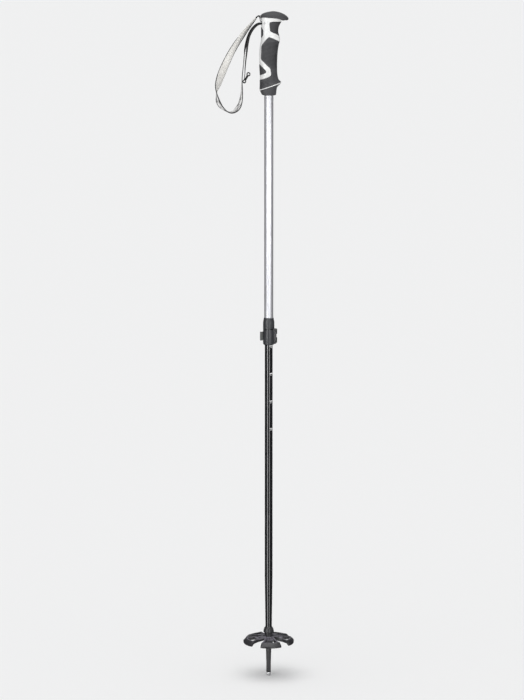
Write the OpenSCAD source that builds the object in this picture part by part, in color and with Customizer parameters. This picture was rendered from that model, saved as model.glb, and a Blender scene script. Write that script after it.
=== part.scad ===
// Telescopic ski pole with a moulded grip, wrist strap, lever clamp and snow basket.
// The origin is the middle of the tip's end face, and +Z runs up the shafts.
// +X is the side of the grip's nose and of the clamp's ears, and the strap hangs at -X.

/* [Length] */
// Length of the pole from its tip to the top of the grip, as set at the clamp
pole_length = 1200; // [1050:10:1400]
// Distance from the lower edge of the clamp to the top of the grip
upper_reach = 591; // [520:1:640]
// Insertion of the lower shaft above the clamp's lower edge, at a pole length of 1200
shaft_insertion = 270; // [260:1:300]

/* [Shafts] */
// Outer diameter of the upper shaft
upper_od = 16; // [15.8:0.1:16]
// Wall of the upper shaft
upper_wall = 0.8; // [0.6:0.1:0.8]
// Outer diameter of the lower shaft in its straight stretch
lower_od = 14; // [13.8:0.1:14]
// Wall of the lower shaft
lower_wall = 1; // [0.7:0.1:1.2]
// Outer diameter of the lower shaft where its taper meets the ferrule
lower_foot_od = 11.6; // [11.4:0.1:12]
// Height at which the taper of the lower shaft begins
taper_top = 182; // [150:1:240]

/* [Clamp] */
// Outer diameter of the clamp's collar and band
clamp_od = 20.2; // [20:0.1:20.6]
// Height of the clamp from its lower edge to its upper edge
clamp_height = 48.3; // [46:0.1:52]
// Opening of the split between the ears
clamp_gap = 2; // [1.6:0.1:2.4]
// Distance of the tension screw's axis from the shaft's axis
screw_x = 11.6; // [11.4:0.1:11.8]
// Diameter of the tension screw's shank
screw_d = 2.5; // [2.3:0.1:2.6]
// Diameter of the lever's upright pivot pin
lever_pin_d = 4.4; // [4:0.1:4.6]

/* [Grip] */
// Length of the grip from its lower edge to the top of its cap
grip_length = 146.5; // [146:0.5:147]
// Depth of the rubber panels
panel_depth = 2; // [1.2:0.1:2.4]
// Diameter of the cross pin that holds the strap
strap_pin_d = 3; // [2.6:0.1:3.2]

/* [Strap] */
// Width of the wide wrist band
band_width = 22; // [18:1:26]
// Thickness of the wrist band
band_thickness = 1.6; // [1.6:0.1:2.4]
// Width of the narrow webbing
webbing_width = 12; // [10:0.5:12.5]
// Thickness of the narrow webbing
webbing_thickness = 1.2; // [1:0.1:1.4]

/* [Basket] */
// Radius at the outer edge of the basket's petals
basket_r = 46.6; // [40:0.1:55]
// Number of petals
petals = 5; // [4:1:6]
// Angle that each petal's rim spans
petal_span = 48; // [36:1:50]
// Downward slope of the petals
petal_droop = 6; // [4:1:12]

/* [Tip] */
// Radius of the ferrule's straight end, where a tip cover fits
tip_seat_r = 4.2; // [4.1:0.1:4.4]
// Radius of the steel tip
tip_r = 4; // [3.6:0.1:4]
// Length of the steel tip that shows below the ferrule
tip_length = 5.6; // [4:0.1:7]

/* [Hidden] */
$fn = 64;

// Colours
C_SILVER = [0.80, 0.81, 0.83];
C_BLACK = [0.07, 0.07, 0.08];
C_CLAMP = [0.24, 0.24, 0.26];
C_STEEL = [0.62, 0.63, 0.65];
C_RUBBER = [0.20, 0.20, 0.22];
C_WHITE = [0.92, 0.92, 0.91];
C_BAND = [0.78, 0.77, 0.74];
C_BASKET = [0.27, 0.26, 0.29];

// Small clearances
eps = 0.01;
running = 0.05;

// Heights on the whole pole
clamp_z = pole_length - upper_reach;
grip_z = pole_length - grip_length;
lower_top = 1200 - upper_reach + shaft_insertion;

// Shafts
upper_r = upper_od / 2;
upper_bore_r = upper_r - upper_wall;
upper_top = grip_z + 106;
lower_r = lower_od / 2;
lower_bore_r = lower_r - lower_wall;
lower_foot_r = lower_foot_od / 2;

// Ferrule and basket seat
ferrule_top = 90.4;
seat_low = 57;
seat_high = 79.5;
seat_r = 5.6;
spigot_r = 4.6;
spigot_low = 60;
spigot_high = 84;

// Clamp, measured up from its lower edge
clamp_r = clamp_od / 2;
band_bore_r = upper_r + running;
slit_low = 27.3;
slit_high = 28.7;
screw_h = 14.4;
ear_reach = 13.6;
ear_half = 6;
plate_t = 0.6;
cam_r = 3.5;
cam_throw = 0.4;
lever_pin_y = ear_half + plate_t + cam_r + cam_throw + running;
lever_pin_r = lever_pin_d / 2;
screw_r = screw_d / 2;
nut_bar_r = 2;

// Strap slot and its pin, measured from the grip's lower edge
pin_x = -7.7;
pin_h = 126.1;
pin_r = strap_pin_d / 2;
slot_half = webbing_width / 2 + 0.6;
wrap_r = pin_r + 0.1 + webbing_thickness / 2;

// The strap swings about this point, and its two parts meet on a cylinder round it
swing_x = -25;
swing_z = pole_length - 19;
swing_r = 9.5;
swing_gap = 0.35;

// --------------------------------------------------------------------------
// Curves and lofts
// --------------------------------------------------------------------------

// A smooth curve through rows of numbers: value at place t, counted in rows
function row_at(rows, i) = rows[max(0, min(len(rows) - 1, i))];
function blend4(a, b, c, d, f) =
    0.5 * (2 * b + (c - a) * f + (2 * a - 5 * b + 4 * c - d) * f * f
        + (3 * b - a - 3 * c + d) * f * f * f);
function curve_at(rows, t) =
    let (i = min(floor(t), len(rows) - 2), f = t - i)
    blend4(row_at(rows, i - 1), row_at(rows, i), row_at(rows, i + 1), row_at(rows, i + 2), f);
function resample(rows, steps) =
    [for (i = [0 : steps * (len(rows) - 1)]) curve_at(rows, i / steps)];

// Squarish oval of exponent e, with its own reach to the rear and to the front of middle
function power(v, e) = sign(v) * pow(abs(v), 2 / e);
function oval(middle, rear, front, half, h, e, sides) = [
    for (i = [0 : sides - 1])
        let (c = cos(360 * i / sides), s = sin(360 * i / sides))
        [middle + power(c, e) * (c > 0 ? front - middle : middle - rear), half * power(s, e), h]
];

// Closed solid through rings that all have the same number of points
module rings_solid(rings) {
    n = len(rings[0]);
    last = len(rings) - 1;
    points = [for (r = rings) for (p = r) p];
    sides = [
        for (k = [0 : last - 1]) for (i = [0 : n - 1])
            let (a = k * n + i, b = k * n + (i + 1) % n)
            each [[a, a + n, b + n], [a, b + n, b]]
    ];
    caps = [[for (i = [0 : n - 1]) i], [for (i = [n - 1 : -1 : 0]) last * n + i]];
    polyhedron(points, concat(caps, sides), convexity = 6);
}

// Flat ribbon along a route in the XZ plane; each row is [x, z, twist, half width]
function along(route, i) =
    let (d = route[min(i + 1, len(route) - 1)] - route[max(i - 1, 0)])
    [d[0], d[1]] / norm([d[0], d[1]]);
function ribbon_ring(route, i, thick) =
    let (
        r = route[i], t = along(route, i),
        n = [-t[1], 0, t[0]],
        w = cos(r[2]) * [0, 1, 0] + sin(r[2]) * n,
        q = cos(r[2]) * n - sin(r[2]) * [0, 1, 0],
        c = [r[0], 0, r[1]], h = thick / 2
    )
    [c - r[3] * w - h * q, c + r[3] * w - h * q, c + r[3] * w + h * q, c - r[3] * w + h * q];
module ribbon(route, thick, steps = 1) {
    fine = resample(route, steps);
    rings_solid([for (i = [0 : len(fine) - 1]) ribbon_ring(fine, i, thick)]);
}

// --------------------------------------------------------------------------
// Lower shaft, tip and basket
// --------------------------------------------------------------------------

module lower_shaft() {
    outer = [
        [spigot_r, spigot_low], [spigot_r, spigot_high], [lower_foot_r, ferrule_top],
        [lower_r, taper_top], [lower_r, lower_top]
    ];
    wall = lower_wall;
    inner = [
        [lower_bore_r, lower_top], [lower_bore_r, taper_top], [lower_foot_r - wall, ferrule_top],
        [spigot_r - wall, spigot_high], [spigot_r - wall, spigot_low]
    ];
    color(C_BLACK) rotate_extrude() polygon(concat(outer, inner));
}

// Guide plug that keeps the lower shaft central inside the upper shaft
module guide_plug() {
    head_r = upper_bore_r - running;
    color(C_CLAMP)
    rotate_extrude()
    polygon([
        [3, lower_top - 18], [lower_bore_r, lower_top - 18], [lower_bore_r, lower_top],
        [head_r, lower_top], [head_r, lower_top + 7], [head_r - 1, lower_top + 9],
        [3, lower_top + 9]
    ]);
}

module tip_ferrule() {
    shank_r = 2.5;
    shank_top = 21;
    color(C_CLAMP)
    rotate_extrude()
    polygon([
        [shank_r, tip_length], [tip_seat_r - 0.3, tip_length], [tip_seat_r, tip_length + 0.4],
        [tip_seat_r, 22], [4.8, 50], [4.8, seat_low - 1], [seat_r, seat_low],
        [seat_r, seat_high], [7.4, seat_high], [9.45, 81], [9.4, 82.4], [9.1, 84.4],
        [8.5, 86.8], [7.6, 88.8], [lower_foot_r + 0.4, ferrule_top],
        [lower_foot_r, ferrule_top], [spigot_r, spigot_high], [spigot_r, spigot_low],
        [0, spigot_low - 2], [0, shank_top], [shank_r, shank_top]
    ]);
}

// Steel tip with a crown of notches round a flat end face
module tip_insert() {
    notches = 8;
    color(C_STEEL)
    difference() {
        union() {
            cylinder(r1 = tip_r - 0.5, r2 = tip_r, h = 1.2);
            translate([0, 0, 1.2]) cylinder(r = tip_r, h = tip_length - 1.2);
            translate([0, 0, tip_length - eps]) cylinder(r = 2.5, h = 15);
        }
        for (k = [0 : notches - 1])
            rotate([0, 0, 360 * k / notches])
            translate([2.6, -0.5, -eps]) cube([2, 1, 1.6]);
    }
}

// One petal: two deep arms that flare at their ends, a holed web near the hub and a rim
// that slopes down to a short outer wall
module petal() {
    rim_in = basket_r - 8;
    rim_half = petal_span / 2;
    arm_w = 3.2;
    arm_h = 5.4;
    arm_root = 4;
    elbow = [28, 8];
    arm_end = [rim_in + 0.6, 12.4];
    flare_end = [rim_in - 1.2, 16.1];
    web_t = 2.2;
    web_drop = 0.7;
    for (side = [-1, 1])
        translate([0, 0, -arm_h])
        linear_extrude(arm_h)
        polygon([
            [6.2, side * arm_root], [elbow[0], side * elbow[1]], [arm_end[0], side * arm_end[1]],
            [flare_end[0], side * flare_end[1]], [elbow[0], side * (elbow[1] + arm_w)],
            [6.2, side * (arm_root + arm_w)]
        ]);
    translate([0, 0, -web_t - web_drop])
    linear_extrude(web_t)
    difference() {
        polygon([[6.2, -5], [24, -8.4], [26, -4], [26, 4], [24, 8.4], [6.2, 5]]);
        translate([18.5, 0]) circle(r = 2);
    }
    rotate([0, 0, -rim_half])
    rotate_extrude(angle = petal_span)
    polygon([
        [rim_in, -0.1], [rim_in + 2.4, -0.4], [basket_r - 0.8, -4.2], [basket_r, -5],
        [basket_r, -8.4], [basket_r - 1.6, -8.4], [rim_in, -3.4]
    ]);
}

module basket() {
    hub_top = seat_high - 0.2;
    ring_pitch = 2.4;
    rings = 5;
    front_angle = -84.4;
    color(C_BASKET)
    difference() {
        union() {
            rotate_extrude()
            polygon([
                [0, seat_low + 0.1], [7, seat_low + 0.1], [8.6, 66], [7.6, 67], [6.9, 68],
                [6.9, hub_top], [0, hub_top]
            ]);
            for (k = [0 : rings - 1])
                translate([0, 0, 69 + ring_pitch * k - 1])
                cylinder(r = 7.4, h = 1.2);
            for (k = [0 : petals - 1])
                rotate([0, 0, front_angle + 360 * k / petals])
                translate([0, 0, 74.6])
                rotate([0, petal_droop, 0])
                petal();
        }
        translate([0, 0, 50]) cylinder(r = seat_r + running, h = 40);
    }
}

// --------------------------------------------------------------------------
// Upper shaft and lever clamp
// --------------------------------------------------------------------------

module upper_shaft() {
    low = clamp_z + slit_high;
    color(C_SILVER)
    translate([0, 0, low])
    difference() {
        cylinder(r = upper_r, h = upper_top - low);
        translate([0, 0, -1]) cylinder(r = upper_bore_r, h = upper_top - low + 2);
    }
}

// Sector of a ring between two angles, standing on z = 0
module ring_sector(r_in, r_out, from, to, h) {
    rotate([0, 0, from])
    rotate_extrude(angle = to - from)
    translate([r_in, 0]) square([r_out - r_in, h]);
}

// Side outline of an ear with its corners cut off
module ear_outline(low, high, reach) {
    cut = 1.2;
    polygon([
        [8.4, low], [reach - cut, low], [reach, low + cut], [reach, high - cut],
        [reach - cut, high], [8.4, high]
    ]);
}

// Cylinder across the ears, along Y between two places
module across(r, from, to) {
    translate([screw_x, to, screw_h]) rotate([90, 0, 0]) cylinder(r = r, h = to - from);
}

// Collar, split band and ears, moulded in one and linked by webs across the slit
module clamp_body() {
    slits = [[-136, -108], [-94, -86], [-78, 78], [86, 94], [108, 136]];
    color(C_CLAMP)
    translate([0, 0, clamp_z])
    difference() {
        union() {
            rotate_extrude()
            polygon([
                [0, 0], [clamp_r - 1.4, 0], [clamp_r - 0.4, 0.9], [clamp_r, 2.2], [clamp_r, 40],
                [clamp_r - 0.25, 42], [clamp_r - 0.7, 44.4], [upper_r + 0.6, clamp_height],
                [0, clamp_height]
            ]);
            translate([0, ear_half, 0])
            rotate([90, 0, 0])
            linear_extrude(2 * ear_half)
            ear_outline(2, slit_low, ear_reach);
        }
        translate([0, 0, -1]) cylinder(r = band_bore_r, h = slit_high + 1);
        translate([0, 0, slit_high - eps]) cylinder(r = upper_r, h = clamp_height);
        translate([0, -clamp_gap / 2, -1]) cube([20, clamp_gap, slit_high + 1]);
        for (s = slits)
            translate([0, 0, slit_low])
            ring_sector(6, 16, s[0], s[1], slit_high - slit_low);
        across(screw_r + 0.25, -8, 8);
        translate([screw_x, -ear_half, 3.2]) cylinder(r = nut_bar_r + 0.02, h = 22.4);
    }
}

// Split liner that the band squeezes on to the lower shaft
module clamp_bushing() {
    color(C_BLACK)
    translate([0, 0, clamp_z + 0.4])
    difference() {
        cylinder(r = upper_r, h = slit_low - 0.6);
        translate([0, 0, -1]) cylinder(r = lower_r + running, h = slit_low + 1);
        translate([0, -clamp_gap / 2, -1]) cube([10, clamp_gap, slit_low + 2]);
    }
}

// Steel plate that the lever's cam rides on
module wear_plate() {
    color(C_STEEL)
    translate([0, 0, clamp_z])
    difference() {
        translate([9.2, ear_half, 3.4]) cube([ear_reach - 9.4, plate_t, 22.6]);
        across(screw_r + 0.25, 0, 10);
    }
}

// Upright barrel nut in the front ear
module nut_bar() {
    color(C_STEEL)
    translate([0, 0, clamp_z])
    difference() {
        translate([screw_x, -ear_half, 3.4]) cylinder(r = nut_bar_r, h = 22);
        across(screw_r + running, -10, 0);
    }
}

// Upright pivot of the lever, with a flat seat for the tension screw's head
module lever_pin() {
    color(C_STEEL)
    translate([0, 0, clamp_z])
    difference() {
        translate([screw_x, lever_pin_y, 1.8]) cylinder(r = lever_pin_r, h = 25.4);
        across(screw_r + running, 0, 20);
        translate([screw_x - 4, lever_pin_y + 1.6, screw_h - 3]) cube([8, 4, 6]);
    }
}

// Cam lever: two knuckles on the pin, an arm round the back and a finger tab
module clamp_lever() {
    arm_low = 7.5;
    arm_high = 22.5;
    arm_in = clamp_r + 0.4;
    arm_out = clamp_r + 2.6;
    screw_room = 3.2;
    tab_reach = 15.6;
    step = 0.3;
    color(C_CLAMP)
    translate([0, 0, clamp_z])
    difference() {
        union() {
            translate([screw_x, lever_pin_y - cam_throw, 2.2]) cylinder(r = cam_r, h = 24.6);
            translate([0, 0, arm_low + step]) linear_extrude(arm_high - arm_low - 2 * step)
            polygon([
                [7.2, 8.6], [9.4, 8], [screw_x, lever_pin_y - 2], [screw_x, lever_pin_y + 2.9],
                [9.4, 13.2], [5.4, 11.3], [4.4, 10.2]
            ]);
            translate([0, 0, arm_low]) ring_sector(arm_in, arm_out, 56, 180, arm_high - arm_low);
            translate([-tab_reach, -0.5, arm_low - step])
            cube([tab_reach - arm_in - 0.4, 2.6, arm_high - arm_low + 2 * step]);
        }
        translate([screw_x, lever_pin_y, 0]) cylinder(r = lever_pin_r + running, h = 30);
        translate([screw_x, lever_pin_y, screw_h - screw_room])
        cylinder(r = 4.8, h = 2 * screw_room);
    }
}

// Screw that sets the clamp's grip, with a driver slot in its head
module tension_screw() {
    head_y = lever_pin_y + 1.6 + running;
    color(C_STEEL)
    translate([0, 0, clamp_z])
    difference() {
        union() {
            across(screw_r, -ear_half - 1.6, head_y + eps);
            across(2.3, head_y, head_y + 1.8);
        }
        translate([screw_x - 3, head_y + 1, screw_h - 0.3]) cube([6, 2, 0.6]);
    }
}

// --------------------------------------------------------------------------
// Grip
// --------------------------------------------------------------------------

// Stations up the grip: height, rear reach, front reach, half width
GRIP = [
    [0, -11.3, 12.3, 11.6], [4, -13.4, 12.7, 12.6], [9.5, -15.8, 13.3, 13.8],
    [14, -15.8, 14.4, 14.3], [18, -15.7, 17.8, 14.8], [21.5, -15.7, 21.3, 15.1],
    [24, -15.6, 20.3, 14.7], [27, -15.6, 17.2, 14], [32, -15.5, 15.5, 13.5],
    [40, -15.8, 14.4, 13.5], [52, -16.5, 14.2, 13.9], [66, -16.8, 14.6, 14.2],
    [78, -16.5, 15.5, 13.9], [88, -15.2, 17, 13.3], [94, -14.2, 18.7, 12.9],
    [98.5, -13.6, 19.7, 12.7], [103, -13.3, 18.4, 12.6], [108, -13.3, 16.6, 12.4],
    [114, -13.3, 16.2, 12.4], [120, -13.3, 17.3, 12.6], [125, -13.2, 19.6, 12.8],
    [129, -13.4, 22, 13.1], [133.5, -14, 22.3, 13.5]
];
CAP = [
    [130.3, -12, 31.8, 11.4], [131.4, -13.6, 33.8, 13.4], [133.5, -14.6, 34.6, 14.6],
    [136.5, -14.9, 33.2, 15], [139.2, -14.4, 30.2, 14.2], [141.6, -12.2, 26.6, 12.3],
    [143.6, -8.2, 22.2, 9.8], [145.1, -3, 17.6, 6.8], [146, 1.8, 13.4, 4], [146.5, 5, 10.6, 1.6]
];
cap_low = 133.5;
cap_front = 22.6;
grip_sides = 30;
grip_e = 2.25;

// The grip's outer form below the cap, drawn in by inset all round
module grip_form(inset = 0, extra = 0) {
    rows = resample(GRIP, 2);
    last = len(rows) - 1;
    rings_solid([
        for (k = [0 : last])
            let (r = rows[k], h = k == 0 ? r[0] - extra : k == last ? r[0] + extra : r[0])
            oval(0, r[1] + inset, r[2] - inset, r[3] - inset, h, grip_e, grip_sides)
    ]);
}

module cap_form() {
    rows = resample(CAP, 2);
    rings_solid([
        for (r = rows) oval((r[1] + r[2]) / 2, r[1], r[2], r[3], r[0], 2.15, grip_sides)
    ]);
}

// Side outlines of the panels as [x, height], carried past the grip where they wrap round it
THUMB = [
    [2, 128], [7.6, 129], [30, 128.4], [30, 97], [16.9, 104.3], [13.2, 107], [7.6, 109.4],
    [3, 111.4], [1.9, 113], [1.2, 120], [0.9, 126.4]
];
REAR = [
    [-20, 119.8], [-13.3, 119.4], [-9.9, 114.4], [-9.5, 107.6], [-10.1, 104.7],
    [-12.5, 100.4], [-20, 100]
];
PALM = [
    [0.6, 102], [8.6, 99.2], [19.3, 93.8], [30, 88], [30, -5], [-20, -5], [-20, 25.6],
    [-15.2, 27], [-6.3, 30], [0.2, 32.8], [3, 34.4], [3.8, 36.6], [3.6, 40], [2.7, 46],
    [1.9, 47.6], [-3.5, 52.6], [-9.1, 58.2], [-13.5, 62.4], [-14, 64.8], [-13.4, 75],
    [-13.1, 85.4], [-11.9, 88.4], [-8.2, 93.6], [-3.5, 99], [-0.6, 101.6]
];
LOWER_REAR = [
    [-20, 54], [-16.4, 54], [-14.7, 53.2], [-10, 48.4], [-5.3, 43.6], [-4.5, 41.4],
    [-5.2, 39.3], [-10, 37], [-15.6, 34.9], [-20, 33.2]
];

// Tilted plane of the trim ring: height at the shaft's axis, slope and thickness
ring_h = 14.6;
ring_tilt = 19;
ring_t = 1.4;

module side_cut(outline) {
    translate([0, 40, 0]) rotate([90, 0, 0]) linear_extrude(80) polygon(outline);
}

// Everything above, or below, the tilted plane shifted by lift
module tilted_half(lift, up) {
    translate([0, 0, ring_h + lift])
    rotate([0, -ring_tilt, 0])
    translate([-60, -60, up ? 0 : -120]) cube([120, 120, 120]);
}

module palm_region() {
    intersection() {
        side_cut(PALM);
        tilted_half(ring_t / 2, true);
    }
}

module skirt_region() {
    tilted_half(-ring_t / 2, false);
}

module ring_region() {
    intersection() {
        tilted_half(-ring_t / 2, true);
        tilted_half(ring_t / 2, false);
    }
}

// A panel is the outer skin of the grip inside its region
module skin() {
    resize([0, 0, 0])
    translate([0, 0, grip_z])
    difference() {
        intersection() {
            grip_form();
            children();
        }
        grip_form(panel_depth, 2);
    }
}

module strap_slot() {
    translate([0, -slot_half, 0]) {
        translate([-30, 0, pin_h - wrap_r - 1])
        cube([30 + pin_x, 2 * slot_half, 2 * wrap_r + 2]);
        translate([pin_x, 0, pin_h])
        rotate([-90, 0, 0]) cylinder(r = wrap_r + 1, h = 2 * slot_half, $fn = 32);
    }
}

module grip_core() {
    color(C_WHITE)
    resize([0, 0, 0])
    translate([0, 0, grip_z])
    difference() {
        grip_form();
        difference() {
            union() {
                side_cut(THUMB);
                side_cut(REAR);
                side_cut(LOWER_REAR);
                side_cut(PALM);
            }
            grip_form(panel_depth, 2);
        }
        translate([0, 0, -5]) cylinder(r = upper_r + 0.02, h = upper_top - grip_z + 5.2, $fn = 48);
        strap_slot();
        translate([pin_x, 20, pin_h])
        rotate([90, 0, 0]) cylinder(r = pin_r + 0.03, h = 40, $fn = 32);
    }
}

module palm_panel() {
    color(C_RUBBER) skin() palm_region();
}

module thumb_panel() {
    color(C_RUBBER) skin() side_cut(THUMB);
}

module rear_panel() {
    color(C_RUBBER) skin() side_cut(REAR);
}

module lower_rear_panel() {
    color(C_RUBBER) skin() side_cut(LOWER_REAR);
}

module trim_ring() {
    color(C_WHITE) skin() ring_region();
}

module grip_skirt() {
    color(C_RUBBER) skin() skirt_region();
}

// Cap over the head, with a lip that hangs in front of the core
module head_cap() {
    color(C_RUBBER)
    resize([0, 0, 0])
    translate([0, 0, grip_z])
    difference() {
        cap_form();
        translate([-40, -40, 0]) cube([40 + cap_front, 80, cap_low]);
    }
}

// --------------------------------------------------------------------------
// Strap
// --------------------------------------------------------------------------

// Routes in the XZ plane, in rows of [x, z below the top of the grip, twist, half width]
web_half = webbing_width / 2;
band_half = band_width / 2;
BAND_ROUTE = [
    [-14, -8.4, 0, web_half], [-18, -8, 2, web_half], [-22, -10.6, 6, web_half + 1],
    [-29.5, -19.5, 12, web_half + 3], [-39, -31, 18, band_half - 1], [-48, -43.5, 22, band_half],
    [-57.5, -57.5, 26, band_half], [-66, -72, 30, band_half], [-73.5, -87, 34, band_half],
    [-80, -101.5, 36, band_half], [-85.5, -116, 34, band_half], [-89.5, -129.5, 24, band_half],
    [-91.5, -141.5, 2, band_half], [-90.5, -153.5, -16, band_half],
    [-87, -163, -20, band_half], [-81, -170.5, -14, band_half], [-73.5, -175.5, -5, band_half],
    [-65.5, -177, 3, band_half], [-58.4, -173.4, 13, band_half], [-53, -167, 17, band_half],
    [-49.5, -157.6, 14, band_half], [-47.8, -146, 9, band_half], [-47.2, -134, 4, band_half],
    [-46.9, -118, 0, band_half - 1], [-45.5, -102, 0, web_half + 3],
    [-44.1, -88, 0, web_half + 0.5], [-43.2, -76, 0, web_half]
];
WEBBING_ROUTE = [
    [-42.5, -88, 0, web_half], [-41.7, -76, 0, web_half], [-41.1, -66, -6, web_half],
    [-39.9, -57.4, -11, web_half], [-36.5, -43.2, -12, web_half], [-30.6, -31.8, -12, web_half],
    [-23.8, -24.4, -12, web_half], [-18, -21.2, -11, web_half], [-12, -20.6, -8, web_half]
];
TAIL_ROUTE = [
    [-12, -22.2, 8, web_half], [-17.6, -22.9, 11, web_half], [-22.9, -26.2, 12, web_half],
    [-28.9, -33.4, 12, web_half], [-34.2, -44, 12, web_half], [-37.2, -57.6, 11, web_half],
    [-38.5, -71, 4, web_half], [-39.5, -84, 1, web_half], [-40.5, -94, 0, web_half],
    [-41.4, -104, 0, web_half], [-42.2, -111, 0, web_half], [-43.2, -118.4, 0, web_half]
];

// Two eyes of the keeper's pinched loop, as [x, z, outer radius]
KEEPER_EYES = [[-42.9, -122.6, 2.9], [-35.8, -110, 3.2]];
keeper_slit = 0.4;

module strap_ribbon(route, thick, steps = 1) {
    translate([0, 0, pole_length]) ribbon(route, thick, steps);
}

// The side of the swing cylinder that faces the grip
module grip_side(grow) {
    difference() {
        translate([swing_x, -30, swing_z - 30]) cube([40, 60, 60]);
        swing_cylinder(grow);
    }
}

module swing_cylinder(grow) {
    translate([swing_x, 30, swing_z]) rotate([90, 0, 0]) cylinder(r = swing_r + grow, h = 60);
}

// Ribbon beyond the swing cylinder's near side, which moves with the strap
module swinging(route, thick, steps = 1) {
    resize([0, 0, 0])
    difference() {
        strap_ribbon(route, thick, steps);
        grip_side(0);
    }
}

module strap_pin() {
    color(C_STEEL)
    translate([pin_x, 12.2, grip_z + pin_h])
    rotate([90, 0, 0]) cylinder(r = pin_r, h = 24.4);
}

// Insert between the layers of webbing, behind the pin
module strap_wedge() {
    half = slot_half - 0.3;
    color(C_RUBBER)
    translate([0, half, grip_z + pin_h])
    rotate([90, 0, 0])
    linear_extrude(2 * half)
    polygon([[-13.2, 0], [-13.2, 1.1], [-10.4, 0.9], [-10.4, 0.2]]);
}

// Webbing that comes in above the wedge, round the pin and out below it
module strap_anchor_loop() {
    top = pin_h + wrap_r;
    low = pin_h - wrap_r;
    shift = grip_z - pole_length;
    wrap = [
        for (a = [90 : -30 : -90])
            [pin_x + wrap_r * cos(a), pin_h + wrap_r * sin(a) + shift, 0, web_half]
    ];
    route = concat(
        [[-21, -8.9, 0, web_half], [-18.4, -8.2, 0, web_half], [-16.4, -9.6, 0, web_half],
         [-15.6, -12.6, 0, web_half], [-14.8, top + 1.4 + shift, 0, web_half],
         [-13.2, top + 0.2 + shift, 0, web_half], [-11, top + shift, 0, web_half]],
        wrap,
        [[-11, low + shift, 0, web_half], [-14, low - 0.2 + shift, 0, web_half],
         [-17.5, -23, 0, web_half], [-21.5, -24.9, 0, web_half]]
    );
    color(C_BLACK)
    resize([0, 0, 0])
    intersection() {
        strap_ribbon(route, webbing_thickness);
        grip_side(swing_gap);
    }
}

// Fixed end of the webbing, between the wedge and the tail
module strap_anchor_end() {
    color(C_BLACK)
    resize([0, 0, 0])
    intersection() {
        strap_ribbon([
            [-10.4, -21.1, 0, web_half], [-14, -21.1, 0, web_half],
            [-18, -21.3, 0, web_half], [-22.6, -23.2, 0, web_half]
        ], 1);
        grip_side(swing_gap);
    }
}

module strap_band() {
    color(C_BAND) swinging(BAND_ROUTE, band_thickness, 2);
}

module strap_webbing() {
    color(C_BLACK) swinging(WEBBING_ROUTE, webbing_thickness, 2);
}

module strap_tail() {
    color(C_BLACK) swinging(TAIL_ROUTE, webbing_thickness, 2);
}

// Outline of the keeper's loop, drawn in by an amount
module keeper_outline(inset) {
    for (eye = KEEPER_EYES)
        translate([eye[0], eye[1]]) circle(r = eye[2] - inset, $fn = 32);
    hull()
    for (eye = KEEPER_EYES)
        translate([eye[0], eye[1]]) circle(r = keeper_slit + webbing_thickness - inset, $fn = 16);
}

// Loop of webbing pinched flat in the middle, with an open eye at each end
module strap_keeper() {
    color(C_BLACK)
    translate([0, web_half, pole_length])
    rotate([90, 0, 0])
    linear_extrude(webbing_width)
    difference() {
        keeper_outline(0);
        keeper_outline(webbing_thickness);
    }
}

module strap_label() {
    color(C_WHITE)
    strap_ribbon([[-41.5, -93.4, 0, 4], [-40.8, -82, 2, 4], [-40.1, -72.5, 2, 4]], 0.6);
}

lower_shaft();
guide_plug();
tip_ferrule();
tip_insert();
basket();
upper_shaft();
clamp_body();
clamp_bushing();
wear_plate();
nut_bar();
lever_pin();
clamp_lever();
tension_screw();
grip_core();
palm_panel();
thumb_panel();
rear_panel();
lower_rear_panel();
head_cap();
trim_ring();
grip_skirt();
strap_pin();
strap_wedge();
strap_anchor_loop();
strap_anchor_end();
strap_band();
strap_webbing();
strap_tail();
strap_keeper();
strap_label();
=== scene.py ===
import math

import bpy
import numpy as np
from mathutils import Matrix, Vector


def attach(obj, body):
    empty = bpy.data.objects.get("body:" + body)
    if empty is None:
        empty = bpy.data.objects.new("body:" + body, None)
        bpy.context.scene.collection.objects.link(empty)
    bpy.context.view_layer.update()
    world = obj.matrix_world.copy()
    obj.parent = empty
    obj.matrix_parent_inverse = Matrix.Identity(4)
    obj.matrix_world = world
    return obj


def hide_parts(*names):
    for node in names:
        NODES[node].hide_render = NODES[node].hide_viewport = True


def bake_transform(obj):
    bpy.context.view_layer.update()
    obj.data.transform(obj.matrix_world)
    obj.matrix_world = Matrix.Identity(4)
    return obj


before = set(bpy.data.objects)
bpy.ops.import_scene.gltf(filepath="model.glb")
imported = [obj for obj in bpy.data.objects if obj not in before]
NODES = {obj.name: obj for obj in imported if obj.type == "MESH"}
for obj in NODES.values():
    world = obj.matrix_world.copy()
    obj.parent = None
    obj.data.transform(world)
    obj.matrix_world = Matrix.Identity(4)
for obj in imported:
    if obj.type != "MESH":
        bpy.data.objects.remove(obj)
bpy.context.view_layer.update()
MM = 0.001
POLE_TOP = 1200.0
GRIP_FOOT = 1053.5
SHADER = "Principled BSDF"

# --------------------------------------------------------------------------
# Camera, lights and cards
# --------------------------------------------------------------------------


def aim(ob, target):
    ob.rotation_euler = (Vector(target) - ob.location).to_track_quat("-Z", "Y").to_euler()


camera = bpy.data.objects.new("camera", bpy.data.cameras.new("camera"))
camera.data.lens = 143
camera.data.sensor_width = 36
camera.location = (-0.012, -4.9, 1.4)
aim(camera, (-0.012, 0, 0.599))
bpy.context.scene.collection.objects.link(camera)
bpy.context.scene.camera = camera

# What the lights may reach: off_floor is all but the floor, silver_only the bright tube alone
off_floor = bpy.data.collections.new("off_floor")
silver_only = bpy.data.collections.new("silver_only")


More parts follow.
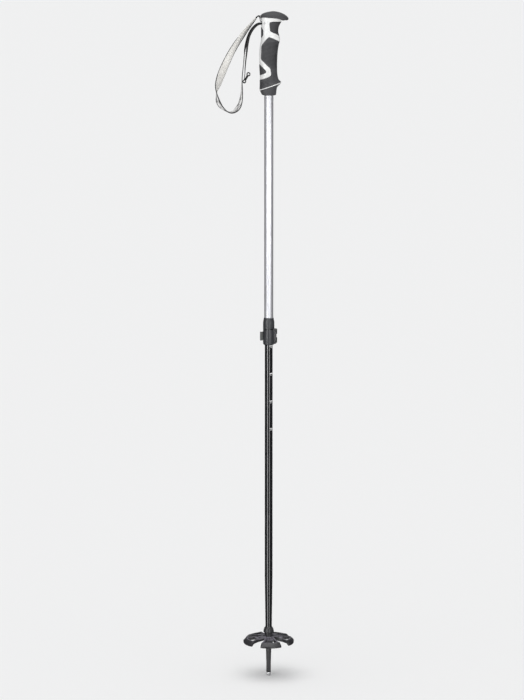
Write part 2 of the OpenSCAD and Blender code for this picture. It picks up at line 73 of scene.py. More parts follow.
def soft_light(name, place, target, width, height, power, gloss=True, receivers=off_floor):
    """Rectangular light in metres and watts, never seen by the camera itself."""
    data = bpy.data.lights.new(name, "AREA")
    data.shape = "RECTANGLE"
    data.size = width
    data.size_y = height
    data.energy = power
    ob = bpy.data.objects.new(name, data)
    ob.location = place
    ob.visible_camera = False
    ob.visible_glossy = gloss
    ob.light_linking.receiver_collection = receivers
    aim(ob, target)
    bpy.context.scene.collection.objects.link(ob)


soft_light("strip_left", (-2.3, -2.9, 1.2), (0, 0, 0.7), 0.8, 2.6, 62)
soft_light("strip_right", (1.35, -3.6, 1.2), (0, 0, 0.7), 0.45, 2.6, 26)
soft_light("fill_right", (2.0, -1.3, 0.35), (0, 0, 1.1), 1.4, 1.4, 34, False)
soft_light("tube_glow", (0.75, -1.5, 0.4), (0, 0, 0.7), 0.5, 0.7, 9.5, receivers=silver_only)

sun = bpy.data.objects.new("ceiling", bpy.data.lights.new("ceiling", "SUN"))
sun.data.energy = 2.1
sun.data.angle = math.radians(70)
sun.rotation_euler = (math.radians(6), math.radians(-5), 0)
bpy.context.scene.collection.objects.link(sun)


def card(name, corners, faces, grey, glow):
    """Staging card that only reflections see. glow is how strongly it shines."""
    mesh = bpy.data.meshes.new(name)
    mesh.from_pydata(corners, [], faces)
    material = bpy.data.materials.new(name)
    material.use_nodes = True
    inputs = material.node_tree.nodes[SHADER].inputs
    inputs["Base Color"].default_value = (grey, grey, grey, 1)
    inputs["Roughness"].default_value = 1.0
    inputs["Emission Color"].default_value = (1, 1, 1, 1)
    inputs["Emission Strength"].default_value = glow
    mesh.materials.append(material)
    ob = bpy.data.objects.new(name, mesh)
    ob.visible_camera = False
    ob.visible_diffuse = False
    ob.visible_shadow = False
    bpy.context.scene.collection.objects.link(ob)


def floor_card(name, start, end, height, glow):
    """Card on the floor between two bearings in degrees, 0 being towards the camera."""
    near, far, step = 0.1, 9.0, 15
    parts = max(1, round((end - start) / step))
    corners = []
    for k in range(parts + 1):
        a = math.radians(start + (end - start) * k / parts)
        corners += [(r * math.sin(a), -r * math.cos(a), height) for r in (near, far)]
    faces = [(2 * k, 2 * k + 1, 2 * k + 3, 2 * k + 2) for k in range(parts)]
    card(name, corners, faces, 0.02, glow)


def side_card(name, x):
    """Dark card beside the set that darkens the edges of round parts."""
    near, far, top = -0.9, 2.2, 2.4
    card(name, [(x, near, 0), (x, far, 0), (x, far, top), (x, near, top)], [(0, 1, 2, 3)], 0.01, 0.0)


floor_card("card_dark", -180, 180, 0.0002, 0.0)
floor_card("card_left", -44.6, -29.5, 0.0004, 5.2)
floor_card("card_right", 16.8, 27.5, 0.0004, 4.6)
side_card("flag_left", -0.85)
side_card("flag_right", 0.85)

# The backdrop is pale, and lights the set more softly than it looks
world = bpy.data.worlds.new("studio")
world.use_nodes = True
sky = world.node_tree
dim, pale = sky.nodes["Background"], sky.nodes.new("ShaderNodeBackground")
dim.inputs["Color"].default_value = (0.93, 0.94, 0.95, 1)
dim.inputs["Strength"].default_value = 0.35
pale.inputs["Color"].default_value = (0.88, 0.88, 0.88, 1)
seen, both = sky.nodes.new("ShaderNodeLightPath"), sky.nodes.new("ShaderNodeMixShader")
sky.links.new(seen.outputs["Is Camera Ray"], both.inputs[0])
sky.links.new(dim.outputs[0], both.inputs[1])
sky.links.new(pale.outputs[0], both.inputs[2])
sky.links.new(both.outputs[0], sky.nodes["World Output"].inputs[0])
bpy.context.scene.world = world
bpy.context.scene.view_settings.view_transform = "Standard"

# --------------------------------------------------------------------------
# Materials
# --------------------------------------------------------------------------


class Maker:
    """One material with its nodes. Numbers that don't vary go straight on the shader."""

    def __init__(self, name, colour, rough, metallic=0.0, **fixed):
        self.material = bpy.data.materials.new(name)
        self.material.use_nodes = True
        self.tree = self.material.node_tree
        self.shader = self.tree.nodes[SHADER]
        self.put(self.shader, "Base Color", colour)
        self.put(self.shader, "Roughness", rough)
        self.put(self.shader, "Metallic", metallic)
        for key, value in fixed.items():
            self.put(self.shader, key.replace("_", " "), value)

    def put(self, node, key, value):
        if isinstance(value, bpy.types.NodeSocket):
            self.tree.links.new(value, node.inputs[key])
        elif isinstance(value, tuple) and len(value) == 3 and node.inputs[key].type == "RGBA":
            node.inputs[key].default_value = (*value, 1)
        else:
            node.inputs[key].default_value = value

    def add(self, kind, inputs, out=0, **settings):
        node = self.tree.nodes.new("ShaderNode" + kind)
        for key, value in settings.items():
            setattr(node, key, value)
        for key, value in inputs.items():
            self.put(node, key, value)
        return node.outputs[out]

    def place(self, stretch=(1, 1, 1)):
        coords = self.add("TexCoord", {}, "Object")
        if stretch == (1, 1, 1):
            return coords
        return self.add("Mapping", {"Vector": coords, "Scale": stretch})

    def uv(self):
        """The piece's own UV: for a strap, millimetres across and along it."""
        where = self.add("UVMap", {}, uv_map="UVMap")
        return self.axis(where, "X"), self.axis(where, "Y")

    def noise(self, scale, detail=3.0, stretch=(1, 1, 1)):
        return self.add("TexNoise", {"Vector": self.place(stretch), "Scale": scale, "Detail": detail})

    def cells(self, scale):
        return self.add("TexVoronoi", {"Vector": self.place(), "Scale": scale}, "Distance")

    def axis(self, vector, key):
        """One of X, Y and Z of a vector."""
        node = self.tree.nodes.new("ShaderNodeSeparateXYZ")
        self.tree.links.new(vector, node.inputs[0])
        return node.outputs[key]

    def math(self, operation, a, b=0.0):
        node = self.tree.nodes.new("ShaderNodeMath")
        node.operation = operation
        self.put(node, 0, a)
        self.put(node, 1, b)
        return node.outputs[0]

    def times(self, a, b):
        return self.math("MULTIPLY", a, b)

    def wave(self, value):
        """Height of a row of round ridges."""
        return self.math("ABSOLUTE", self.math("SINE", value))

    def span(self, value, low, high, to_low=0.0, to_high=1.0):
        """Stretches value from low..high to to_low..to_high, and clamps it there."""
        return self.add("MapRange", {
            "Value": value, "From Min": low, "From Max": high, "To Min": to_low, "To Max": to_high,
        })

    def drift(self, noise, a, b):
        """Slow change from a to b over the middle of a noise, for colours or numbers."""
        if isinstance(a, tuple):
            return self.mix(self.span(noise, 0.3, 0.7), a, b)
        return self.span(noise, 0.3, 0.7, a, b)

    def mix(self, share, a, b):
        node = self.tree.nodes.new("ShaderNodeMix")
        node.data_type = "RGBA"
        self.put(node, 0, share)
        for index, value in ((6, a), (7, b)):
            if isinstance(value, tuple):
                node.inputs[index].default_value = (*value, 1)
            else:
                self.tree.links.new(value, node.inputs[index])
        return node.outputs[2]

    def colour(self, value):
        self.put(self.shader, "Base Color", value)

    def rough(self, value):
        self.put(self.shader, "Roughness", value)

    def bump(self, height, distance):
        """Height from 0 to 1 over distance in metres, on top of any earlier bump."""
        node = self.tree.nodes.new("ShaderNodeBump")
        self.put(node, "Height", height)
        node.inputs["Distance"].default_value = distance
        node.inputs["Strength"].default_value = 1.0
        normal = self.shader.inputs["Normal"]
        if normal.links:
            self.tree.links.new(normal.links[0].from_socket, node.inputs["Normal"])
        self.tree.links.new(node.outputs[0], normal)


def shade(colour, k):
    return tuple(c * k for c in colour)


def tube_material(name, colour, rough, metallic, streak, coat):
    """Drawn tube: fine lines along it, a slow drift of colour and faint specks of wear."""
    m = Maker(name, colour, rough, metallic, Coat_Weight=coat, Coat_Roughness=0.06)
    draw = m.noise(2600, 4, (1, 1, 0.012))
    cloud = m.noise(30, 2, (1, 1, 0.3))
    specks = m.span(m.cells(240), 0, 0.05, 0.08, 0)
    m.colour(m.mix(m.span(cloud, 0.35, 0.65), shade(colour, 1 - streak), shade(colour, 1 + streak)))
    m.rough(m.math("ADD", m.drift(draw, rough * 0.85, rough * 1.2), specks))
    m.bump(draw, 0.000012)
    return m.material


def plastic_material(name, colour, rough, grain, depth, wear=0.25, top=None):
    """Moulded plastic: fine grain, colour drift and scuffs. top is the colour of painted light on level
    faces that point up, laid on in patches.
    """
    m = Maker(name, colour, rough)
    fine = m.cells(grain)
    cloud = m.noise(45, 3)
    scuff = m.span(m.noise(150, 6, (1, 1, 0.25)), 0.60, 0.72)
    base = m.drift(cloud, shade(colour, 0.9), shade(colour, 1.12))
    if top:
        # Painted light: level faces that point up are lighter, in patches
        level = m.span(m.axis(m.add("NewGeometry", {}, "Normal"), "Z"), 0.9, 0.985)
        lit_top_share = m.times(level, m.span(m.noise(90, 4), 0.3, 0.62, 0.35, 1.0))
        base = m.mix(lit_top_share, base, top)
    m.colour(m.mix(m.times(scuff, wear), base, shade(colour, 1.9)))
    m.rough(m.math("ADD", m.drift(cloud, rough - 0.04, rough + 0.05), m.times(scuff, 0.1)))
    m.bump(fine, depth)
    return m.material


def rubber_material(name, colour, shade_grooves=False):
    """Pebbled rubber with dust and, when asked, painted shade in the grooves that the piece's UV marks."""
    m = Maker(name, colour, 0.62, Sheen_Weight=0.12, Sheen_Roughness=0.4)
    pebble = m.cells(1900)
    cloud = m.noise(70, 4)
    dust = m.span(m.noise(420, 5), 0.62, 0.75)
    base = m.drift(cloud, shade(colour, 0.86), shade(colour, 1.14))
    if shade_grooves:
        # Painted shade: the grooves are darker
        base = m.mix(m.times(m.uv()[0], 0.8), base, (0.006, 0.006, 0.007))
    m.colour(m.mix(m.times(dust, 0.18), base, (0.16, 0.16, 0.165)))
    m.rough(m.drift(cloud, 0.56, 0.7))
    m.bump(pebble, 0.00006)
    return m.material


def steel_material(name, colour, rough, rings=0.0):
    """Brushed steel with stains. rings is the pitch of turned rings in metres."""
    m = Maker(name, colour, rough, 1.0)
    brushed = m.noise(1800, 4, (1, 1, 0.08))
    stain = m.noise(260, 4)
    m.colour(m.mix(m.span(stain, 0.4, 0.72), colour, shade(colour, 0.72)))
    m.rough(m.drift(brushed, rough * 0.7, rough * 1.35))
    if rings:
        turned = m.math("SINE", m.times(m.axis(m.place(), "Z"), 2 * math.pi / rings))
        m.bump(turned, 0.000015)
    m.bump(brushed, 0.00001)
    return m.material


def weave(m, pitch_u, pitch_v, depth):
    """Bumps a plain weave of the given pitches in millimetres, and returns u, v and its height."""
    u, v = m.uv()
    a = m.math("SINE", m.times(u, math.pi / pitch_u))
    b = m.math("SINE", m.times(v, math.pi / pitch_v))
    warp = m.math("ABSOLUTE", a)
    weft = m.math("ABSOLUTE", b)
    check = m.math("GREATER_THAN", m.times(a, b), 0.0)
    over = m.times(warp, m.math("ADD", m.times(weft, 0.5), 0.5))
    under = m.times(weft, m.math("ADD", m.times(warp, 0.5), 0.3))
    height = m.math("ADD", m.times(over, check), m.times(under, m.math("SUBTRACT", 1.0, check)))
    m.bump(height, depth)
    return u, v, height


def webbing_material(name, colour, light, gap=0.45):
    """Woven tape with painted light and shade: light is the lit colour of raised threads, and gap paints
    shade on what lies between them.
    """
    m = Maker(name, colour, 0.78, Sheen_Weight=0.08, Sheen_Roughness=0.35)
    height = weave(m, 0.55, 0.75, 0.00016)[2]
    fuzz = m.noise(900, 4)
    # Painted light and shade: raised threads lighter, the hollows between them darker
    base = m.mix(height, shade(colour, gap), light)
    m.colour(m.mix(m.span(fuzz, 0.35, 0.7), shade(colour, 0.8), base))
    m.rough(m.drift(fuzz, 0.7, 0.86))
    return m.material


def lining_material(name):
    """Pale brushed lining with a faint diagonal knit, with painted shade in the knit's hollows and painted
    shade greying it towards the bottom of the loop.
    """
    m = Maker(name, (0.8, 0.78, 0.74), 0.85, Sheen_Weight=0.3, Sheen_Roughness=0.5)
    u, v = m.uv()
    leant_u, leant_v = m.times(u, 3.4), m.times(v, 4.4)
    rib = m.wave(m.math("ADD", leant_u, leant_v))
    cross = m.wave(m.math("SUBTRACT", leant_v, leant_u))
    knit = m.times(rib, m.math("ADD", m.times(cross, 0.5), 0.5))
    cloud = m.noise(55, 3)
    base = m.drift(cloud, (0.74, 0.72, 0.68), (0.84, 0.83, 0.8))
    # Painted shade: darker towards the bottom of the loop
    base = m.mix(m.span(v, 105, 155, 0.0, 0.38), base, (0.06, 0.06, 0.06))
    # Painted shade in the hollows of the knit
    m.colour(m.mix(m.times(m.math("SUBTRACT", 1.0, knit), 0.35), base, (0.5, 0.485, 0.46)))
    m.rough(m.drift(cloud, 0.78, 0.92))
    m.bump(knit, 0.00006)
    return m.material


def printed_material(name):
    """Outer face of the band: loose dark brush strokes on off-white, along the strap."""
    m = Maker(name, (0.7, 0.7, 0.69), 0.72, Sheen_Weight=0.2, Sheen_Roughness=0.4)
    u, v, height = weave(m, 0.5, 0.6, 0.00011)
    across = m.tree.nodes.new("ShaderNodeCombineXYZ")
    m.put(across, "X", m.times(u, 0.2))
    m.put(across, "Y", m.times(m.math("ADD", v, m.times(u, 0.9)), 0.048))
    strokes = m.add("TexNoise", {
        "Vector": across.outputs[0], "Scale": 1.0, "Detail": 3.0, "Roughness": 0.62, "Distortion": 0.6,
    })
    ink = m.span(strokes, 0.5, 0.525)
    fuzz = m.noise(700, 4)
    pale = m.drift(fuzz, (0.8, 0.79, 0.78), (0.9, 0.9, 0.89))
    dark = m.drift(fuzz, (0.02, 0.02, 0.022), (0.05, 0.05, 0.054))
    m.colour(m.mix(ink, pale, dark))
    m.rough(m.span(height, 0, 1, 0.82, 0.66))
    return m.material


M_SILVER = tube_material("silver_tube", (0.65, 0.655, 0.685), 0.5, 0.85, 0.03, 0.0)
M_BLACK = tube_material("black_tube", (0.009, 0.0092, 0.0104), 0.16, 0.0, 0.12, 1.0)
M_CLAMP = plastic_material("clamp_plastic", (0.031, 0.0325, 0.036), 0.34, 2600, 0.00003)
M_FERRULE = plastic_material("ferrule_plastic", (0.026, 0.026, 0.028), 0.33, 2400, 0.00003)
# The basket's last colour is painted light on its up-facing faces
M_BASKET = plastic_material(
    "basket_plastic", (0.024, 0.0235, 0.026), 0.36, 2000, 0.00004, 0.5, (0.15, 0.14, 0.17))
M_LINER = plastic_material("liner_plastic", (0.02, 0.02, 0.022), 0.5, 2400, 0.00003)
M_CORE = plastic_material("core_plastic", (0.62, 0.62, 0.615), 0.36, 1800, 0.00001, 0.0)
M_RUBBER = rubber_material("grip_rubber", (0.04, 0.04, 0.044))
M_INLAY = rubber_material("inlay_rubber", (0.029, 0.029, 0.032))
# The palm's rubber has painted shade in its grooves
M_PALM = rubber_material("palm_rubber", (0.046, 0.046, 0.05), True)
M_CAP = rubber_material("cap_rubber", (0.038, 0.038, 0.041))
M_STEEL = steel_material("steel", (0.55, 0.56, 0.58), 0.32)
M_DARK = steel_material("blackened_steel", (0.1, 0.1, 0.105), 0.36)
M_LEVER = plastic_material("lever_plastic", (0.062, 0.066, 0.064), 0.42, 2600, 0.00003)
M_TIP = steel_material("tip_steel", (0.78, 0.78, 0.79), 0.3, 0.0006)
M_WEBBING = webbing_material("webbing", (0.009, 0.009, 0.0095), (0.02, 0.02, 0.021))
M_BINDING = webbing_material("binding", (0.009, 0.009, 0.01), (0.02, 0.02, 0.022))
M_LINING = lining_material("band_lining")
M_SELVEDGE = webbing_material("selvedge", (0.6, 0.59, 0.57), (0.66, 0.65, 0.63), 0.9)
M_PRINT = printed_material("band_print")
M_LABEL = webbing_material("label_cloth", (0.86, 0.86, 0.85), (0.96, 0.96, 0.95))
M_THREAD = webbing_material("thread", (0.55, 0.54, 0.52), (0.8, 0.79, 0.76))
M_MARK = plastic_material("mark_ink", (0.82, 0.82, 0.82), 0.45, 3000, 0.000005, 0.0)

# --------------------------------------------------------------------------
# Mesh helpers
# --------------------------------------------------------------------------


def piece(name, verts, faces, material, body, uv=None, replaces=(), index=None, ride=True):
    """A smooth mesh in millimetres. uv is per vertex, index is each face's material."""
    mesh = bpy.data.meshes.new(name)
    mesh.from_pydata([tuple(c * MM for c in v) for v in verts], [], faces)
    for m in material if isinstance(material, list) else [material]:
        mesh.materials.append(m)
    if index is not None:
        mesh.polygons.foreach_set("material_index", index)
    if uv is not None:
        layer = mesh.uv_layers.new(name="UVMap")
        flat = [c for loop in mesh.loops for c in uv[loop.vertex_index]]
        layer.data.foreach_set("uv", flat)
    mesh.polygons.foreach_set("use_smooth", [True] * len(mesh.polygons))
    mesh.validate()
    mesh.update()
    ob = bpy.data.objects.new(name, mesh)
    bpy.context.scene.collection.objects.link(ob)
    if ride:
        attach(ob, body)
    if replaces:
        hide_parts(*replaces)
    return ob


def tube_faces(rows, sides, close_low=False, close_high=False, flip=False):
    """Quads between rows of sides points each, wrapping round, with an optional face at each end."""
    faces = []
    for k in range(rows - 1):
        for i in range(sides):
            a, b = k * sides + i, k * sides + (i + 1) % sides
            faces.append((a, b, b + sides, a + sides))
    if close_low:
        faces.append(tuple(range(sides - 1, -1, -1)))
    if close_high:
        faces.append(tuple((rows - 1) * sides + i for i in range(sides)))
    return [f[::-1] for f in faces] if flip else faces


def resample(rows, steps):
    """Catmull-Rom through rows of numbers."""
    rows = np.array(rows, float)
    last = len(rows) - 1
    out = []
    for j in range(steps * last + 1):
        k = min(j // steps, last - 1)
        f = j / steps - k
        a, b, c, d = (rows[max(0, min(last, i))] for i in (k - 1, k, k + 1, k + 2))
        out.append(
            0.5 * (2 * b + (c - a) * f + (2 * a - 5 * b + 4 * c - d) * f**2
                   + (3 * b - a - 3 * c + d) * f**3)
        )
    return np.array(out)


def power(v, e):
    """Turns the cosine or sine of a circle into that of a squarer oval."""
    return np.sign(v) * np.abs(v) ** (2 / e)


# --------------------------------------------------------------------------
# Grip
# --------------------------------------------------------------------------

# Rows of the grip and its cap: height, rear reach, front reach, half width
GRIP = [
    [0, -11.3, 12.3, 11.6], [4, -13.4, 12.7, 12.6], [9.5, -15.8, 13.3, 13.8],
    [14, -15.8, 14.4, 14.3], [18, -15.7, 17.8, 14.8], [21.5, -15.7, 21.3, 15.1],
    [24, -15.6, 20.3, 14.7], [27, -15.6, 17.2, 14], [32, -15.5, 15.5, 13.5],
    [40, -15.8, 14.4, 13.5], [52, -16.5, 14.2, 13.9], [66, -16.8, 14.6, 14.2],
    [78, -16.5, 15.5, 13.9], [88, -15.2, 17, 13.3], [94, -14.2, 18.7, 12.9],
    [98.5, -13.6, 19.7, 12.7], [103, -13.3, 18.4, 12.6], [108, -13.3, 16.6, 12.4],
    [114, -13.3, 16.2, 12.4], [120, -13.3, 17.3, 12.6], [125, -13.2, 19.6, 12.8],
    [129, -13.4, 22, 13.1], [133.5, -14, 22.3, 13.5],
]
CAP = [
    [130.3, -12, 31.8, 11.4], [131.4, -13.6, 33.8, 13.4], [133.5, -14.6, 34.6, 14.6],
    [136.5, -14.9, 33.2, 15], [139.2, -14.4, 30.2, 14.2], [141.6, -12.2, 26.6, 12.3],
    [143.6, -8.2, 22.2, 9.8], [145.1, -3, 17.6, 6.8], [146, 1.8, 13.4, 4],
    [146.5, 5, 10.6, 1.6],
]
# Lowest edge of the cap: x, height
CAP_EDGE = [
    [-15, 133.5], [-9, 134.2], [-2, 134.9], [7, 134.9], [15, 134.0], [21, 132.4], [24, 131.1],
    [26.5, 130.5], [28.5, 130.7], [31, 131.3], [33, 130.6], [34.6, 131.2],
]
# Outlines of the rubber panels, seen from the side: x, height
THUMB = [
    [2, 128], [7.6, 129], [30, 128.4], [30, 97], [16.9, 104.3], [13.2, 107], [7.6, 109.4],
    [3, 111.4], [1.9, 113], [1.2, 120], [0.9, 126.4],
]
REAR = [
    [-20, 119.8], [-13.3, 119.4], [-9.9, 114.4], [-9.5, 107.6], [-10.1, 104.7],
    [-12.5, 100.4], [-20, 100],
]
PALM = [
    [0.6, 102], [8.6, 99.2], [19.3, 93.8], [30, 88], [30, -5], [-20, -5], [-20, 25.6],
    [-15.2, 27], [-6.3, 30], [0.2, 32.8], [3, 34.4], [3.8, 36.6], [3.6, 40], [2.7, 46],
    [1.9, 47.6], [-3.5, 52.6], [-9.1, 58.2], [-13.5, 62.4], [-14, 64.8], [-13.4, 75],
    [-13.1, 85.4], [-11.9, 88.4], [-8.2, 93.6], [-3.5, 99], [-0.6, 101.6],
]
LOWER_REAR = [
    [-20, 54], [-16.4, 54], [-14.7, 53.2], [-10, 48.4], [-5.3, 43.6], [-4.5, 41.4],
    [-5.2, 39.3], [-10, 37], [-15.6, 34.9], [-20, 33.2],
]
# Trim ring: height on the axis, tilt and thickness
RING_H, RING_TILT, RING_T = 14.6, math.radians(19), 1.4
# How far the panels stand out, their gap to the ring, and where the core's wall turns straight
PROUD, PANEL_GAP, CORE_TOP = 0.42, 0.1, 133.5
GRIP_FINE = resample(GRIP, 16)
GRIP_TABLE = GRIP_FINE[np.argsort(GRIP_FINE[:, 0])]


def grip_grid(heights, sides, e=2.25):
    """Points and outward normals of the grip's form, as [height, side, xyz]."""
    heights = np.asarray(heights, float)
    rear, front, half = (np.interp(heights, GRIP_TABLE[:, 0], GRIP_TABLE[:, k]) for k in (1, 2, 3))
    a = 2 * np.pi * np.arange(sides) / sides
    c, s = power(np.cos(a), e), power(np.sin(a), e)
    x = np.where(c > 0, c[None] * front[:, None], -c[None] * rear[:, None])
    y = half[:, None] * s[None]
    points = np.stack([x, y, np.repeat(heights[:, None], sides, 1)], 2)
    along = np.gradient(points, heights, axis=0)
    around = np.roll(points, -1, 1) - np.roll(points, 1, 1)
    normal = np.cross(around, along)
    normal /= np.linalg.norm(normal, axis=2, keepdims=True)
    return points, normal


def rounded(outline, reach=1.3, steps=4):
    """The outline with each corner replaced by a short curve."""
    out = []
    n = len(outline)
    for i in range(n):
        p = np.array(outline[i], float)
        a, b = np.array(outline[i - 1], float), np.array(outline[(i + 1) % n], float)
        da, db = np.linalg.norm(a - p), np.linalg.norm(b - p)
        start = p + (a - p) / da * min(reach, da * 0.45)
        end = p + (b - p) / db * min(reach, db * 0.45)
        for j in range(steps + 1):
            t = j / steps
            out.append((1 - t) ** 2 * start + 2 * t * (1 - t) * p + t**2 * end)
    return np.array(out)


def inside(outline, x, h):
    """Distance to the outline, positive inside it."""
    a = rounded(outline)
    b = np.roll(a, -1, 0)
    best = np.full(x.shape, 1e9)
    odd = np.zeros(x.shape, bool)
    for (ax, ah), (bx, bh) in zip(a, b):
        dx, dh = bx - ax, bh - ah
        t = np.clip(((x - ax) * dx + (h - ah) * dh) / max(dx * dx + dh * dh, 1e-12), 0, 1)
        best = np.minimum(best, np.hypot(x - ax - t * dx, h - ah - t * dh))
        if ah != bh:
            odd ^= ((ah > h) != (bh > h)) & (x < ax + (h - ah) * dx / dh)
    return np.where(odd, best, -best)


def ring_height(x, h):
    """Distance above the trim ring's tilted middle plane."""
    return math.cos(RING_TILT) * (h - RING_H) - math.sin(RING_TILT) * x


def moulded(depth, proud, edge, sink=0.55):
    """How far a panel stands out: a rounded edge that dives under the core at its outline."""
    t = np.clip(depth / edge, 0, 1)
    return np.where(depth > 0, proud * np.sqrt(1 - (1 - t) ** 2), np.clip(depth, -sink, 0))


def smooth(v, low, high):
    """0 below low, 1 above high, and a smooth step between them."""
    t = np.clip((v - low) / (high - low), 0, 1)
    return t * t * (3 - 2 * t)


def panel(name, measure, low, high, step, proud=PROUD, edge=1.1, extra=None, sides=200,
          material=M_INLAY):
    """Skin of the grip where measure(x, height) is positive, with a hem sunk under the core.

    moulded() shapes it, extra(points, depth) gives further relief, and the UV marks the grooves.
    """
    hem = 0.65
    heights = np.arange(low, high + step, step)
    points, normal = grip_grid(heights, sides)
    depth = measure(points[..., 0], points[..., 2])
    relief = np.zeros(depth.shape) if extra is None else extra(points, depth)
    points = points + normal * (moulded(depth, proud, edge) + relief)[..., None]
    keep = depth > -hem
    number = np.full(keep.shape, -1)
    number[keep] = np.arange(keep.sum())
    beside = np.roll(number, -1, 1)
    low_a, low_b, high_b, high_a = number[:-1], beside[:-1], beside[1:], number[1:]
    full = (low_a >= 0) & (low_b >= 0) & (high_a >= 0) & (high_b >= 0)
    faces = np.stack([low_a[full], low_b[full], high_b[full], high_a[full]], 1).tolist()
    verts = points[keep]
    verts[:, 2] += GRIP_FOOT
    # How deep each point lies in a groove, where the palm's rubber paints shade
    groove = np.clip((0.05 - relief[keep]) / 0.4, 0, 1)
    uv = None if extra is None else [(float(g), 0.0) for g in groove]
    return piece(name, verts.tolist(), faces, material, "upper_pole", uv, [name])


def palm_measure(x, h):
    return np.minimum(inside(PALM, x, h), ring_height(x, h) - RING_T / 2 - PANEL_GAP)


def palm_ribs(points, depth):
    """Fine level ribs over the palm and slanted ribs above the trim ring."""
    x, h = points[..., 0], points[..., 2]
    above = ring_height(x, h)
    level_pitch, slanted_pitch = 2.25, 2.1
    level = np.cos(2 * np.pi * (h + 0.12 * x) / level_pitch)
    margin = smooth(inside(PALM, x, h), 3.0, 4.0)
    zone = margin * smooth(h, 46, 49) * (1 - smooth(h, 92, 95)) * (1 - smooth(x, 12, 17))
    lip = 0.16 * (smooth(depth, 2.4, 2.8) - smooth(depth, 3.0, 3.6)) * smooth(h, 44, 47)
    slanted = np.cos(2 * np.pi * above / slanted_pitch)
    low = smooth(above, 2.5, 4) * (1 - smooth(above, 12.5, 14))
    low = low * smooth(depth, 1.0, 2.0) * (1 - smooth(x, -2, 3))
    return (0.22 * level - 0.14) * zone + (0.2 * slanted - 0.12) * low - lip


panel("palm_panel", palm_measure, 6, 103, 0.3, extra=palm_ribs, sides=220, material=M_PALM)
panel("thumb_panel", lambda x, h: inside(THUMB, x, h), 96, 130, 0.4)
panel("rear_panel", lambda x, h: inside(REAR, x, h), 99, 121, 0.4)
panel("lower_rear_panel", lambda x, h: inside(LOWER_REAR, x, h), 32, 55.5, 0.4)
panel("trim_ring", lambda x, h: RING_T / 2 + 0.05 - np.abs(ring_height(x, h)), 6, 25, 0.2,
      proud=0.5, edge=0.5, sides=240, material=M_CORE)


def skirt():
    """Rubber foot of the grip, from its rounded lower rim up to the trim ring."""
    sides, sink, rim_height, rim_depth, mouth = 200, 0.6, 1.6, 1.2, 8.0
    heights = np.arange(0, 24, 0.35)
    points, normal = grip_grid(heights, sides)
    depth = -ring_height(points[..., 0], points[..., 2]) - RING_T / 2 - PANEL_GAP
    rim = np.sqrt(np.clip(1 - (1 - np.clip(points[..., 2] / rim_height, 0, 1)) ** 2, 0, 1))
    out = moulded(depth, PROUD, 1.0, sink) - rim_depth * (1 - rim)
    points = points + normal * out[..., None]
    spare = (-sink - depth) / math.cos(RING_TILT)
    points[..., 2] = np.where(depth < -sink, points[..., 2] - spare, points[..., 2])
    first = points[0]
    reach = np.hypot(first[:, 0], first[:, 1])
    under = []
    for inset, drop in ((None, 0.0), (2.6, 0.1), (0.9, 0.25)):
        share = mouth / reach if inset is None else np.maximum(reach - inset, mouth) / reach
        under.append(np.stack([first[:, 0] * share, first[:, 1] * share, np.full(sides, -drop)], 1))
    verts = np.concatenate(under + list(points))
    verts[:, 2] += GRIP_FOOT
    faces = tube_faces(len(under) + len(points), sides)
    return piece("grip_skirt", verts.tolist(), faces, M_RUBBER, "upper_pole",
                 replaces=["grip_skirt"])


skirt()


def core():
    """White body of the grip, with the strap's slot cut through its back."""
    sides = 144
    heights = np.concatenate([np.arange(0.6, 133, 0.8), [CORE_TOP, 134.6, 135.6]])
    points, _ = grip_grid(np.minimum(heights, CORE_TOP), sides)
    points[..., 2] = heights[:, None]
    verts = points.reshape(-1, 3)
    verts[:, 2] += GRIP_FOOT
    ob = piece("grip_core", verts.tolist(), tube_faces(len(heights), sides, True, True), M_CORE,
               "upper_pole", replaces=["grip_core"])
    mesh = bpy.data.meshes.new("slot_cutter")
    half, low, high, back, turn, bulge = 6.7, 122.6, 129.7, -30.0, -6.2, 3.12
    outline = [(back, low), (turn, low)]
    for j in range(1, 8):
        a = -math.pi / 2 + math.pi * j / 8
        outline.append((turn + bulge * math.cos(a), (low + high) / 2 + (high - low) / 2 * math.sin(a)))
    outline += [(turn, high), (back, high)]
    n = len(outline)
    verts = [(x * MM, y * MM, (h + GRIP_FOOT) * MM) for y in (-half, half) for x, h in outline]
    faces = [tuple(range(n)), tuple(range(2 * n - 1, n - 1, -1))]
    faces += [(i, i + n, (i + 1) % n + n, (i + 1) % n) for i in range(n)]
    mesh.from_pydata(verts, [], faces)
    cutter = bpy.data.objects.new("slot_cutter", mesh)
    bpy.context.scene.collection.objects.link(cutter)
    cut = ob.modifiers.new("slot", "BOOLEAN")
    cut.object = cutter
    cut.operation = "DIFFERENCE"
    cut.solver = "EXACT"
    bpy.context.view_layer.update()
    done = bpy.data.meshes.new_from_object(ob.evaluated_get(bpy.context.evaluated_depsgraph_get()))
    ob.modifiers.clear()
    ob.data = done
    done.materials.clear()
    done.materials.append(M_CORE)
    done.polygons.foreach_set("use_smooth", [True] * len(done.polygons))
    done.set_sharp_from_angle(angle=math.radians(50))
    bpy.data.objects.remove(cutter)
    return ob


core()


